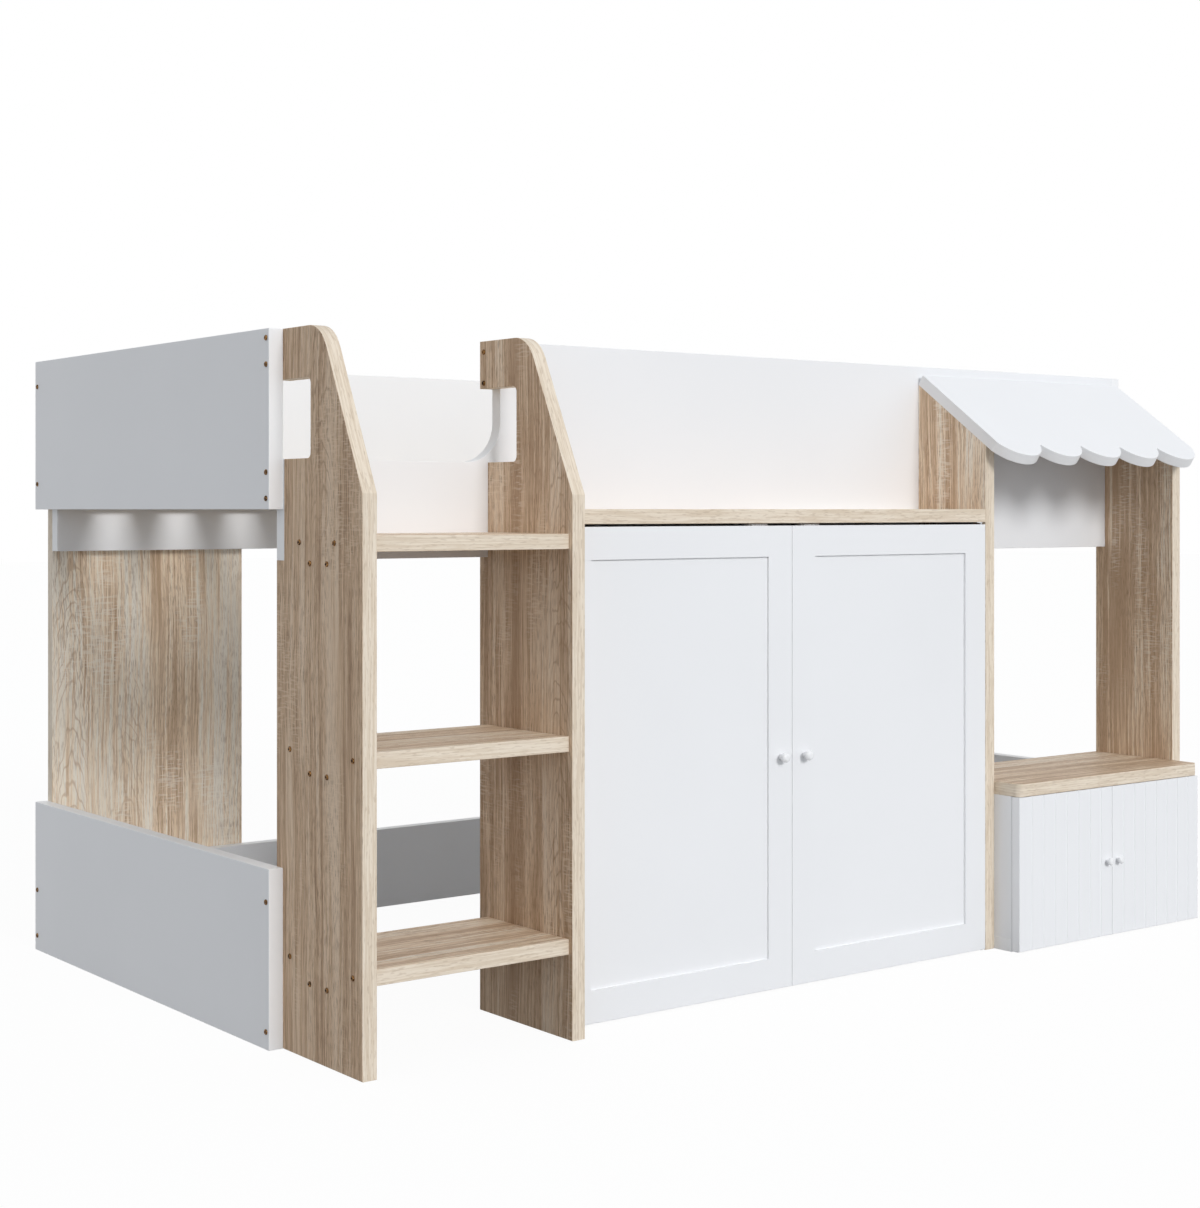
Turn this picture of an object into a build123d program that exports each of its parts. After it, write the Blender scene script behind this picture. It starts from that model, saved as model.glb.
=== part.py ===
from build123d import *
import math
import os

# Mattress bay: it sets the inside of the whole frame.
mattress_length = 2000
mattress_width = 900
mattress_length_play = 5
mattress_width_play = 10

# Thickness of each kind of board.
end_panel_thickness = 25
guard_thickness = 25
ladder_side_thickness = 25
step_thickness = 25
shop_side_thickness = 25
back_leg_thickness = 22
awning_thickness = 22
cupboard_top_thickness = 25
bench_top_thickness = 25
bench_bottom_thickness = 25
bench_side_thickness = 18
cupboard_floor_thickness = 18
cupboard_shelf_thickness = 18
back_panel_thickness = 8

# Frame heights and setbacks.
bed_height = 1143
guard_height = 368
sill_height = 161
end_panel_height = 287
end_panel_setback = 3
kick_board_height = 167
back_leg_width = 402
edge_radius = 1.0

# Ladder.
ladder_opening = 358
ladder_reach = 249
ladder_top_flat = 120
ladder_slant_drop = 263
ladder_nose_radius = 62
sill_curve_radius = 68
handle_depth = 87
handle_height = 126
handle_corner_radius = 10
first_step_top = 163
step_pitch = 327
step_count = 3
step_setback = 9

# Cupboard between the ladder and the shop.
cupboard_opening = 1002
shop_reach = 184
cupboard_top_rise = 81.5
cupboard_shelf_height = 422
cupboard_shelf_setback = 16
door_thickness = 18
door_proud = 2
door_top_gap = 4.5
door_side_gap = 2.5
door_middle_gap = 0.8
stile_width = 55
panel_thickness = 8
panel_recess = 5
panel_tongue = 7
panel_groove_depth = 7.5
panel_groove_play = 0.05
door_edge_radius = 1

# Shop bench.
bench_top_height = 326
bench_reach = 250
bench_corner_radius = 14
bench_door_thickness = 20
bench_door_top_gap = 0.8
bench_door_middle_gap = 0.8
flute_count = 8
flute_depth = 1.5
flute_radius = 2.5

# Awning.
awning_drop = 36
awning_angle = 34.5
awning_tip = 290
scallop_count = 5
scallop_depth_share = 0.378
scallop_notch_radius = 2.5

# Slatted base.
slat_count = 15
slat_width = 70
slat_thickness = 18
slat_end_gap = 7
slat_side_gap = 5
slat_drop = 238
rail_width = 25
rail_height = 30

# Pivots of the doors: a pin at the top and one at the foot of each.
pivot_side_inset = 6
pivot_front_inset = 6
bench_pivot_side_inset = 5
bench_pivot_front_inset = 10
pivot_pin_radius = 2
pivot_bore_play = 0.1
pivot_pin_depth = 12
pivot_plate_thickness = 1.5
pivot_plate_radius = 3
pivot_plate_play = 0.1
pivot_plate_length = 14
pivot_foot_seat = 30
pivot_foot_play = 0.3
pivot_running_gap = 0.3
pivot_floor_gap = 0.8
door_swing_gap = 0.3

# Knobs.
cupboard_knob_radius = 9
cupboard_knob_length = 20
cupboard_knob_neck_radius = 4.5
cupboard_knob_neck_length = 7
cupboard_knob_rounding = 6
cupboard_knob_inset = 28
bench_knob_radius = 7
bench_knob_length = 14
bench_knob_neck_radius = 3.5
bench_knob_neck_length = 5
bench_knob_rounding = 4
bench_knob_inset = 16

# Angle brackets under the steps and under the cupboard's top and shelf.
bracket_leg = 24
bracket_thickness = 2
bracket_length = 90
bracket_screw_drop = 20
bracket_screw_spacing = 55
step_bracket_setback = 112.5
cupboard_bracket_setback = 107
shelf_bracket_setback = 66

# Screws: long ones with a socket head, and small ones through the slats.
screw_length = 45
bracket_screw_length = 29
screw_radius = 3
screw_head_radius = 4.5
screw_head_height = 2
screw_head_rounding = 1.4
screw_socket_radius = 2
screw_socket_depth = 1.3
screw_bore_play = 0.15
slat_screw_length = 34
slat_screw_radius = 2
slat_screw_head_radius = 3.6
slat_screw_head_depth = 2
slat_screw_sink = 0.2

# Screw places, each measured in from an edge of its board.
end_screw_top = 15
end_screw_spacing = 42
sill_screw_drop = 21
sill_screw_spacing = 41.5
leg_end_screw_top = 49
leg_end_screw_spacing = 189
lower_screw_top = 53
lower_screw_bottom = 28.5
lower_leg_screw_top = 170
step_screw_inset = 20
top_step_screw_back = 51
top_step_screw_front = 77
hook_screw_top = 18.5
hook_screw_spacing = 53
leg_screw_inset = 60
back_board_screw_inset = 50
upright_screw_low = 40
upright_screw_high = 119
rail_screw_every = 3


# How far a door's rounded back corner reaches behind its pivot as it turns.
def door_swing(side_inset, front_inset, thickness):
    across = side_inset - door_edge_radius
    behind = thickness - front_inset - door_edge_radius
    return math.hypot(across, behind) + door_edge_radius


# Planes that follow from the sizes above. x runs from the left end, y back from
# the front face of the front guard, z up from the floor.
inner_length = mattress_length + mattress_length_play
inner_width = mattress_width + mattress_width_play
x_left = end_panel_thickness
x_right = x_left + inner_length
bed_length = x_right + end_panel_thickness
y_guard_back = guard_thickness
y_board_front = y_guard_back + inner_width
y_leg_front = y_board_front + guard_thickness
y_leg_back = y_leg_front + back_leg_thickness
x_ladder_left = x_left
x_step_left = x_ladder_left + ladder_side_thickness
x_step_right = x_step_left + ladder_opening
x_cupboard_left = x_step_right + ladder_side_thickness
x_cupboard_right = x_cupboard_left + cupboard_opening
x_shop_left = x_cupboard_right + shop_side_thickness
x_shop_right = x_right - shop_side_thickness
z_guard = bed_height - guard_height
z_sill = z_guard + sill_height
z_handle = z_sill + handle_height
z_awning = bed_height - awning_drop
y_door_front = -shop_reach - door_proud
y_door_back = y_door_front + door_thickness
y_door_pivot = y_door_front + pivot_front_inset
door_reach_back = door_swing(pivot_side_inset, pivot_front_inset, door_thickness)
y_cupboard_front = y_door_pivot + door_reach_back + door_swing_gap
y_cupboard_back = y_guard_back - back_panel_thickness
z_tab_top = pivot_floor_gap + pivot_plate_thickness
z_door_bottom = z_tab_top + pivot_running_gap
z_cupboard_ledge = z_guard + cupboard_top_rise
z_cupboard_top = z_cupboard_ledge - cupboard_top_thickness
z_door_top = z_cupboard_top - door_top_gap
y_bench_pivot = -bench_reach + bench_pivot_front_inset
y_bench_door_back = -bench_reach + bench_door_thickness
bench_reach_back = door_swing(bench_pivot_side_inset, bench_pivot_front_inset, bench_door_thickness)
y_bench_front = y_bench_pivot + bench_reach_back + door_swing_gap
z_bench_top = bench_top_height - bench_top_thickness
z_bench_door_top = z_bench_top - bench_door_top_gap
z_slat_top = bed_height - slat_drop
z_slat_bottom = z_slat_top - slat_thickness
slat_screw_rows = (y_guard_back + rail_width / 2, y_board_front - rail_width / 2)
slat_pitch = (inner_length - 2 * slat_end_gap - slat_width) / (slat_count - 1)
y_front_most = -bench_reach - bench_knob_length
door_pivot_inset = door_side_gap + pivot_side_inset
x_door_pivots = (x_cupboard_left + door_pivot_inset, x_cupboard_right - door_pivot_inset)
x_bench_pivots = (x_shop_left + bench_pivot_side_inset, x_shop_right - bench_pivot_side_inset)
y_back_most = y_leg_back + screw_head_height
origin = Pos(-bed_length / 2, -(y_front_most + y_back_most) / 2, 0)

parts = {}
over = 5


# A board with slightly rounded edges, between two places along each axis.
def board(x, y, z, radius=edge_radius):
    size = [high - low for low, high in (x, y, z)]
    centre = [(low + high) / 2 for low, high in (x, y, z)]
    solid = Pos(*centre) * Box(*size)
    return fillet(solid.edges(), min(radius, min(size) / 4))


# A plain box between two places along each axis, for cuts and small pieces.
def block(x, y, z):
    size = [high - low for low, high in (x, y, z)]
    centre = [(low + high) / 2 for low, high in (x, y, z)]
    return Pos(*centre) * Box(*size)


# A flat rectangle between two places along each of the sketch's own axes.
def sheet(u, v):
    width = u[1] - u[0]
    height = v[1] - v[0]
    return Pos((u[0] + u[1]) / 2, (v[0] + v[1]) / 2) * Rectangle(width, height)


# The vertex of a flat outline that lies nearest to a point.
def corner(outline, u, v):
    return outline.vertices().sort_by_distance((u, v, 0))[0]


# A board cut from an outline in y and z, standing across the bed from x on.
def upright(outline, x, thickness):
    solid = extrude(Plane.YZ.offset(x) * outline, thickness)
    faces = solid.faces().filter_by(Axis.X).sort_by(Axis.X)
    rims = faces[0].outer_wire().edges() + faces[-1].outer_wire().edges()
    return fillet(rims, edge_radius)


# A board cut from an outline in x and z, standing along the bed from y on.
def long_board(outline, y, thickness):
    solid = extrude(Plane.XZ.offset(-y) * outline, -thickness)
    faces = solid.faces().filter_by(Axis.Y).sort_by(Axis.Y)
    rims = faces[0].outer_wire().edges() + faces[-1].outer_wire().edges()
    return fillet(rims, edge_radius)


# A round bar from a start point along a direction.
def bar(start, direction, radius, length):
    plane = Plane(origin=start, z_dir=direction)
    return extrude(plane * Circle(radius), length)


# End panels: an upper and a lower one at each end.
def end_panels():
    y = (end_panel_setback, y_leg_back)
    upper = (bed_height - end_panel_height, bed_height)
    lower = (0, end_panel_height)
    parts["end_panel_upper_left"] = board((0, x_left), y, upper)
    parts["end_panel_lower_left"] = board((0, x_left), y, lower)
    parts["end_panel_upper_right"] = board((x_right, bed_length), y, upper)
    parts["end_panel_lower_right"] = board((x_right, bed_length), y, lower)


# Front guard: low across the ladder opening, then curving up to full height.
def front_guard():
    full = sheet((x_left, x_right), (z_guard, bed_height))
    entry = sheet((x_left - over, x_cupboard_left), (z_sill, bed_height + over))
    entry = fillet(corner(entry, x_cupboard_left, z_sill), sill_curve_radius)
    parts["guard_board_front"] = long_board(full - entry, 0, guard_thickness)


# Back boards in front of the two wide back legs.
def back_boards():
    x = (x_left, x_right)
    y = (y_board_front, y_leg_front)
    parts["guard_board_back"] = board(x, y, (z_guard, bed_height))
    parts["kick_board_back"] = board(x, y, (0, kick_board_height))
    y = (y_leg_front, y_leg_back)
    z = (0, bed_height)
    parts["back_leg_left"] = board((x_left, x_left + back_leg_width), y, z)
    parts["back_leg_right"] = board((x_right - back_leg_width, x_right), y, z)


# Outline of a ladder side: slanted front, notch for the guard and handle hole.
def ladder_outline():
    nose = (-ladder_top_flat, bed_height)
    back = y_guard_back
    z_slant_foot = bed_height - ladder_slant_drop
    points = [(back, 0), (back, bed_height), nose, (-ladder_reach, z_slant_foot), (-ladder_reach, 0)]
    outline = make_face(Polyline(*points, close=True))
    outline = fillet(corner(outline, *nose), ladder_nose_radius)
    notch = sheet((0, back + over), (z_guard, z_sill))
    handle = sheet((-handle_depth, back + over), (z_sill, z_handle))
    inner = [corner(handle, -handle_depth, z_sill), corner(handle, -handle_depth, z_handle)]
    handle = fillet(inner, handle_corner_radius)
    return outline - notch - handle


# The ladder's two sides and its steps.
def ladder():
    outline = ladder_outline()
    parts["ladder_side_left"] = upright(outline, x_ladder_left, ladder_side_thickness)
    parts["ladder_side_right"] = upright(outline, x_step_right, ladder_side_thickness)
    y = (-ladder_reach + step_setback, 0)
    for index, z in enumerate(step_undersides()):
        parts[f"ladder_step_{index + 1}"] = board((x_step_left, x_step_right), y, (z, z + step_thickness))


# Outline of a shop side: notched for the guard and sloped under the awning.
def shop_outline():
    back = y_guard_back
    front = -shop_reach
    z_front = z_awning - shop_reach * math.tan(math.radians(awning_angle))
    points = [(back, 0), (back, z_guard), (0, z_guard), (0, z_awning), (front, z_front), (front, 0)]
    return make_face(Polyline(*points, close=True))


# The two sides of the shop window.
def shop_sides():
    outline = shop_outline()
    parts["shop_side_left"] = upright(outline, x_cupboard_right, shop_side_thickness)
    parts["shop_side_right"] = upright(outline, x_shop_right, shop_side_thickness)


# The awning: a sloping board, scalloped along its front and cut square to its face.
def awning():
    angle = math.radians(awning_angle)
    upward = (0, -math.sin(angle), math.cos(angle))
    underside = Plane(origin=(0, 0, z_awning), x_dir=(1, 0, 0), z_dir=upward)
    left = x_cupboard_right
    pitch = (x_right - left) / scallop_count
    valley = scallop_depth_share * pitch - awning_tip
    edges = []
    for index in range(scallop_count):
        start = left + index * pitch
        middle = (start + pitch / 2, -awning_tip)
        edges.append(ThreePointArc((start, valley), middle, (start + pitch, valley)))
    edges.append(Polyline((x_right, valley), (x_right, 0), (left, 0), (left, valley)))
    outline = make_face(edges)
    notches = [corner(outline, left + index * pitch, valley) for index in range(1, scallop_count)]
    outline = fillet(notches, scallop_notch_radius)
    solid = extrude(underside * outline, awning_thickness)
    rims = solid.edges().filter_by(GeomType.LINE, reverse=True)
    parts["awning"] = fillet(rims, edge_radius)


# Left edge of one slat.
def slat_start(index):
    return x_left + slat_end_gap + index * slat_pitch


# Equal slats on two rails, one rail along each long board.
def slatted_base():
    z = (z_slat_bottom - rail_height, z_slat_bottom)
    front = board((x_left, x_right), (y_guard_back, y_guard_back + rail_width), z)
    back = board((x_left, x_right), (y_board_front - rail_width, y_board_front), z)
    middles = [slat_start(index) + slat_width / 2 for index in range(slat_count)]
    bores = [slat_bore(x, y) for x in middles for y in slat_screw_rows]
    parts["slat_rails"] = [front - bores[0::2], back - bores[1::2]]
    y = (y_guard_back + slat_side_gap, y_board_front - slat_side_gap)
    slat = board((0, slat_width), y, (z_slat_bottom, z_slat_top))
    slat -= [slat_bore(slat_width / 2, row) for row in slat_screw_rows]
    for index in range(slat_count):
        parts[f"slat_{index + 1:02d}"] = Pos(slat_start(index), 0, 0) * slat


# The sunk conical head of a small screw in a slat.
def slat_screw_head():
    middle = Pos(0, 0, -slat_screw_sink - slat_screw_head_depth / 2)
    return middle * Cone(slat_screw_radius, slat_screw_head_radius, slat_screw_head_depth)


# Countersunk bore for a small screw, down from a slat's top.
def slat_bore(x, y):
    down = (0, 0, -1)
    shaft = bar((0, 0, 0), down, slat_screw_radius + screw_bore_play, slat_screw_length + screw_bore_play)
    rim = bar((0, 0, over), down, slat_screw_head_radius, over + slat_screw_sink)
    return Pos(x, y, z_slat_top) * (shaft + rim + slat_screw_head())


# The cupboard's own boards between the ladder and the shop.
def cupboard():
    x = (x_cupboard_left, x_cupboard_right)
    parts["cupboard_top"] = board(x, (-shop_reach, 0), (z_cupboard_top, z_cupboard_ledge))
    floor_y = (y_cupboard_front, y_cupboard_back)
    floor = board(x, floor_y, (0, cupboard_floor_thickness))
    parts["cupboard_floor"] = floor - foot_recesses(x_door_pivots, y_cupboard_front)
    back_z = (0, z_guard)
    parts["cupboard_back"] = board(x, (y_cupboard_back, y_guard_back), back_z)
    shelf_y = (y_cupboard_front + cupboard_shelf_setback, y_cupboard_back)
    shelf_z = (cupboard_shelf_height - cupboard_shelf_thickness, cupboard_shelf_height)
    parts["cupboard_shelf"] = board(x, shelf_y, shelf_z)


# Bores for the pivot pins in the top and bottom edge of a door.
def pivot_bores(x, y, z_bottom, z_top):
    radius = pivot_pin_radius + pivot_bore_play
    depth = pivot_pin_depth + pivot_bore_play
    low = bar((x, y, z_bottom), (0, 0, 1), radius, depth)
    high = bar((x, y, z_top - depth), (0, 0, 1), radius, depth)
    return [low, high]


# Shallow recesses under a floor board for the feet of two doors' pivots.
def foot_recesses(centres, y_front):
    half = pivot_plate_radius + pivot_foot_play
    y = (y_front - over, y_front + pivot_foot_seat + pivot_foot_play)
    return [block((x - half, x + half), y, (-over, z_tab_top)) for x in centres]


# One cupboard door: two stiles, two rails with stub tenons, and a let-in panel.
def cupboard_door(side, x_low, x_high, x_hinge):
    y = (y_door_front, y_door_back)
    z = (z_door_bottom, z_door_top)
    whole = board((x_low, x_high), y, z, door_edge_radius)
    x_inner = (x_low + stile_width, x_high - stile_width)
    z_inner = (z[0] + stile_width, z[1] - stile_width)
    panel_y = (y[0] + panel_recess, y[0] + panel_recess + panel_thickness)
    groove_y = (panel_y[0] - panel_groove_play, panel_y[1] + panel_groove_play)
    groove_x = (x_inner[0] - panel_groove_depth, x_inner[1] + panel_groove_depth)
    groove_z = (z_inner[0] - panel_groove_depth, z_inner[1] + panel_groove_depth)
    groove = block(groove_x, groove_y, (z[0] - over, z[1] + over))
    slot = block((x_low, x_high), groove_y, groove_z)
    tongue_x = (x_inner[0] - panel_tongue, x_inner[1] + panel_tongue)
    tongue_z = (z_inner[0] - panel_tongue, z_inner[1] + panel_tongue)
    stiles = []
    for stile_x in ((x_low, x_inner[0]), (x_inner[1], x_high)):
        stile = (whole & block(stile_x, y, z)) - groove
        stiles.append(stile - pivot_bores(x_hinge, y_door_pivot, *z))
    rails = []
    for rail_z in ((z[0], z_inner[0]), (z_inner[1], z[1])):
        rail = (whole & block(x_inner, y, rail_z)) + block(tongue_x, panel_y, rail_z)
        rails.append(rail - slot)
    if x_hinge > x_inner[1]:
        stiles.reverse()
    parts[f"cupboard_door_{side}_outer_stile"] = stiles[0]
    parts[f"cupboard_door_{side}_inner_stile"] = stiles[1]
    parts[f"cupboard_door_{side}_rails"] = rails
    parts[f"cupboard_door_{side}_panel"] = block(tongue_x, panel_y, tongue_z)


# A round knob on a slim neck, standing out to the front from a door's face.
def knob(x, y, z, radius, length, neck_radius, neck_length, rounding):
    head = bar((0, neck_length, 0), (0, 1, 0), radius, length - neck_length)
    head = fillet(head.edges().filter_by(GeomType.CIRCLE), rounding)
    neck = bar((0, 0, 0), (0, 1, 0), neck_radius, length - rounding)
    return Pos(x, y, z) * Rot(180, 0, 0) * (head + neck)


# The cupboard's pair of doors with a knob on each inner stile.
def cupboard_doors():
    middle = (x_cupboard_left + x_cupboard_right) / 2
    left = (x_cupboard_left + door_side_gap, middle - door_middle_gap / 2)
    right = (middle + door_middle_gap / 2, x_cupboard_right - door_side_gap)
    cupboard_door("left", *left, x_door_pivots[0])
    cupboard_door("right", *right, x_door_pivots[1])
    z = (z_door_bottom + z_door_top) / 2
    turned = knob(0, y_door_front, z, cupboard_knob_radius, cupboard_knob_length, cupboard_knob_neck_radius,
                  cupboard_knob_neck_length, cupboard_knob_rounding)
    parts["cupboard_knob_left"] = Pos(middle - cupboard_knob_inset, 0, 0) * turned
    parts["cupboard_knob_right"] = Pos(middle + cupboard_knob_inset, 0, 0) * turned


# The bench: a low box with a thick top whose front corner is rounded.
def bench():
    x = (x_shop_left, x_shop_right)
    y = (y_bench_front, y_guard_back)
    top = board(x, (-bench_reach, y_guard_back), (z_bench_top, bench_top_height), edge_radius)
    plan = sheet(x, (-bench_reach, y_guard_back))
    fronts = [corner(plan, x_shop_left, -bench_reach), corner(plan, x_shop_right, -bench_reach)]
    plan = fillet(fronts, bench_corner_radius)
    top = top & extrude(Pos(0, 0, z_bench_top) * plan, bench_top_thickness)
    z_recess = (z_bench_top - over, z_bench_top + pivot_plate_thickness)
    recesses = []
    for pivot, inward in zip(x_bench_pivots, (1, -1)):
        recesses.append(pivot_plate(pivot, inward, y_bench_pivot, z_recess, pivot_plate_play))
    parts["bench_top"] = top - recesses
    bottom = board(x, y, (0, bench_bottom_thickness))
    parts["bench_bottom"] = bottom - foot_recesses(x_bench_pivots, y_bench_front)
    z = (bench_bottom_thickness, z_bench_top)
    left = (x_shop_left, x_shop_left + bench_side_thickness)
    right = (x_shop_right - bench_side_thickness, x_shop_right)
    parts["bench_side_left"] = board(left, y, z)
    parts["bench_side_right"] = board(right, y, z)
    parts["bench_back"] = board((left[1], right[0]), (y_cupboard_back, y_guard_back), z)


# A bench door with upright flutes across its front.
def bench_door(x_low, x_high, x_hinge):
    y = (-bench_reach, y_bench_door_back)
    z = (z_door_bottom, z_bench_door_top)
    door = board((x_low, x_high), y, z, door_edge_radius)
    pitch = (x_high - x_low) / flute_count
    y_centre = -bench_reach + flute_depth - flute_radius
    cuts = pivot_bores(x_hinge, y_bench_pivot, *z)
    for index in range(1, flute_count):
        start = (x_low + index * pitch, y_centre, z[0] - over)
        cuts.append(bar(start, (0, 0, 1), flute_radius, z[1] - z[0] + 2 * over))
    return door - cuts


# The bench's pair of doors with a knob near the inner edge of each.
def bench_doors():
    middle = (x_shop_left + x_shop_right) / 2
    left = (x_shop_left, middle - bench_door_middle_gap / 2)
    right = (middle + bench_door_middle_gap / 2, x_shop_right)
    parts["bench_door_left"] = bench_door(*left, x_bench_pivots[0])
    parts["bench_door_right"] = bench_door(*right, x_bench_pivots[1])
    z = (z_door_bottom + z_bench_door_top) / 2
    turned = knob(0, -bench_reach, z, bench_knob_radius, bench_knob_length, bench_knob_neck_radius,
                  bench_knob_neck_length, bench_knob_rounding)
    parts["bench_knob_left"] = Pos(middle - bench_knob_inset, 0, 0) * turned
    parts["bench_knob_right"] = Pos(middle + bench_knob_inset, 0, 0) * turned


# The plate of an upper pivot between two heights, or with play its recess.
def pivot_plate(x, inward, y, z, play=0):
    radius = pivot_plate_radius + play
    along = sorted((x, x + inward * (pivot_plate_length + play)))
    return bar((x, y, z[0]), (0, 0, 1), radius, z[1] - z[0]) + block(along, (y - radius, y + radius), z)


# The two pivots of one door: a plate with a pin above, a foot with a pin below.
def pivot_pair(x, inward, y, y_floor_front, z_ceiling, z_top):
    up = (0, 0, 1)
    radius = pivot_plate_radius
    plate = pivot_plate(x, inward, y, (z_ceiling - pivot_plate_thickness, z_ceiling))
    z_pin = z_top - pivot_pin_depth
    plate += bar((x, y, z_pin), up, pivot_pin_radius, z_ceiling - z_pin)
    foot_z = (pivot_floor_gap, z_tab_top)
    foot = bar((x, y, foot_z[0]), up, radius, pivot_plate_thickness)
    foot += block((x - radius, x + radius), (y, y_floor_front + pivot_foot_seat), foot_z)
    foot += bar((x, y, foot_z[0]), up, pivot_pin_radius, z_door_bottom + pivot_pin_depth - foot_z[0])
    return [plate, foot]


# Pivots of all four doors.
def door_pivots():
    solids = []
    for x, inward in zip(x_door_pivots, (1, -1)):
        solids += pivot_pair(x, inward, y_door_pivot, y_cupboard_front, z_cupboard_top, z_door_top)
    z_recess = z_bench_top + pivot_plate_thickness
    for x, inward in zip(x_bench_pivots, (1, -1)):
        solids += pivot_pair(x, inward, y_bench_pivot, y_bench_front, z_recess, z_bench_door_top)
    parts["door_pivots"] = solids


# An angle bracket: one leg on an upright's face, the other under a board.
def bracket(x, inward, y, z):
    side_x = sorted((x, x + inward * bracket_thickness))
    under_x = sorted((x, x + inward * bracket_leg))
    long_y = (y - bracket_length / 2, y + bracket_length / 2)
    side = block(side_x, long_y, (z - bracket_leg, z))
    return side + block(under_x, long_y, (z - bracket_thickness, z))


# Brackets under the left end of each step and both ends of the cupboard's boards.
def angle_brackets():
    solids = [bracket(x_step_left, 1, -step_bracket_setback, z) for z in step_undersides()]
    z_shelf = cupboard_shelf_height - cupboard_shelf_thickness
    for setback, z in ((cupboard_bracket_setback, z_cupboard_top), (shelf_bracket_setback, z_shelf)):
        solids.append(bracket(x_cupboard_left, 1, -setback, z))
        solids.append(bracket(x_cupboard_right, -1, -setback, z))
    parts["angle_brackets"] = solids


# Heights of the steps' undersides.
def step_undersides():
    return [first_step_top + index * step_pitch - step_thickness for index in range(step_count)]


# Places of the screws with a head on a board's face: start, direction, length.
def screw_places():
    places = []
    y_guard = y_guard_back / 2
    y_leg = (y_leg_front + y_leg_back) / 2
    top = bed_height - end_screw_top
    sill = z_sill - sill_screw_drop
    near = [top, top - end_screw_spacing, sill, sill - sill_screw_spacing]
    near += [end_panel_height - lower_screw_top, lower_screw_bottom]
    leg_top = bed_height - leg_end_screw_top
    far = [leg_top, leg_top - leg_end_screw_spacing]
    far += [end_panel_height - lower_leg_screw_top, lower_screw_bottom]
    for y, heights in ((y_guard, near), (y_leg, far)):
        for z in heights:
            places.append(((0, y, z), (1, 0, 0), screw_length))
            places.append(((bed_length, y, z), (-1, 0, 0), screw_length))
    step_front = ladder_reach - step_setback
    for index, z in enumerate(step_undersides()):
        inset = (step_screw_inset, step_front - step_screw_inset)
        if index == step_count - 1:
            inset = (top_step_screw_back, step_front - top_step_screw_front)
        for distance in inset:
            middle = z + step_thickness / 2
            places.append(((x_ladder_left, -distance, middle), (1, 0, 0), screw_length))
            places.append(((x_cupboard_left, -distance, middle), (-1, 0, 0), screw_length))
        for shift in (-bracket_screw_spacing / 2, bracket_screw_spacing / 2):
            y = -step_bracket_setback + shift
            places.append(((x_ladder_left, y, z - bracket_screw_drop), (1, 0, 0), bracket_screw_length))
    hook_top = bed_height - hook_screw_top
    for z in (hook_top, hook_top - hook_screw_spacing):
        places.append(((x_step_right, y_guard, z), (1, 0, 0), screw_length))
    guard_rows = (z_guard + back_board_screw_inset, bed_height - back_board_screw_inset)
    kick_rows = (back_board_screw_inset, kick_board_height - back_board_screw_inset)
    legs = (x_left, x_left + back_leg_width), (x_right - back_leg_width, x_right)
    for low, high in legs:
        for x in (low + leg_screw_inset, high - leg_screw_inset):
            places += [((x, y_leg_back, z), (0, -1, 0), screw_length) for z in guard_rows + kick_rows]
    half = ladder_side_thickness / 2
    shop_half = shop_side_thickness / 2
    middles = (x_step_left - half, x_cupboard_left - half, x_shop_left - shop_half, x_shop_right + shop_half)
    for x in middles:
        for z in (z_guard + upright_screw_low, z_guard + upright_screw_high):
            places.append(((x, y_guard_back, z), (0, -1, 0), screw_length))
    z_rail = z_slat_bottom - rail_height / 2
    for index in range(1, slat_count, rail_screw_every):
        x = slat_start(index) - (slat_pitch - slat_width) / 2
        places.append(((x, y_guard_back + rail_width, z_rail), (0, -1, 0), screw_length))
        places.append(((x, y_board_front - rail_width, z_rail), (0, 1, 0), screw_length))
    return places


# A screw whose head stands on the plane z = 0, with a hexagonal socket in it.
def screw(length):
    head = bar((0, 0, 0), (0, 0, 1), screw_head_radius, screw_head_height)
    rim = head.edges().sort_by(Axis.Z)[-1]
    head = fillet(rim, screw_head_rounding)
    floor = Pos(0, 0, screw_head_height - screw_socket_depth)
    socket = extrude(floor * RegularPolygon(screw_socket_radius, 6), screw_head_height)
    return head + bar((0, 0, 0), (0, 0, -1), screw_radius, length) - socket


# Whether the boxes round two solids meet.
def meets(a, b):
    x = a.min.X < b.max.X and b.min.X < a.max.X
    y = a.min.Y < b.max.Y and b.min.Y < a.max.Y
    return x and y and a.min.Z < b.max.Z and b.min.Z < a.max.Z


# A solid with every bore that meets it cut out.
def drilled(solid, bores):
    box = solid.bounding_box()
    near = [bore for bore, bore_box in bores if meets(box, bore_box)]
    return solid - near if near else solid


# The small screws that hold the slats down.
def slat_screws():
    shaft_length = slat_screw_length - slat_screw_sink
    shaft = bar((0, 0, -slat_screw_sink), (0, 0, -1), slat_screw_radius, shaft_length)
    small = shaft + slat_screw_head()
    middles = [slat_start(index) + slat_width / 2 for index in range(slat_count)]
    parts["slat_screws"] = [Pos(x, y, z_slat_top) * small for x in middles for y in slat_screw_rows]


# The long screws, and their bores in every board that they pass or end in.
def brass_screws():
    kinds = {length: screw(length) for length in (screw_length, bracket_screw_length)}
    solids = []
    bores = []
    for start, direction, length in screw_places():
        outward = tuple(-part for part in direction)
        solids.append(Plane(origin=start, z_dir=outward).location * kinds[length])
        bore = bar(start, direction, screw_radius + screw_bore_play, length + screw_bore_play)
        bores.append((bore, bore.bounding_box()))
    bored = ("end_", "guard_", "kick_", "back_leg", "ladder_", "shop_", "angle_", "slat_rails")
    for name in [name for name in parts if name.startswith(bored)]:
        if isinstance(parts[name], list):
            parts[name] = [drilled(solid, bores) for solid in parts[name]]
        else:
            parts[name] = drilled(parts[name], bores)
    parts["brass_screws"] = solids


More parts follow.
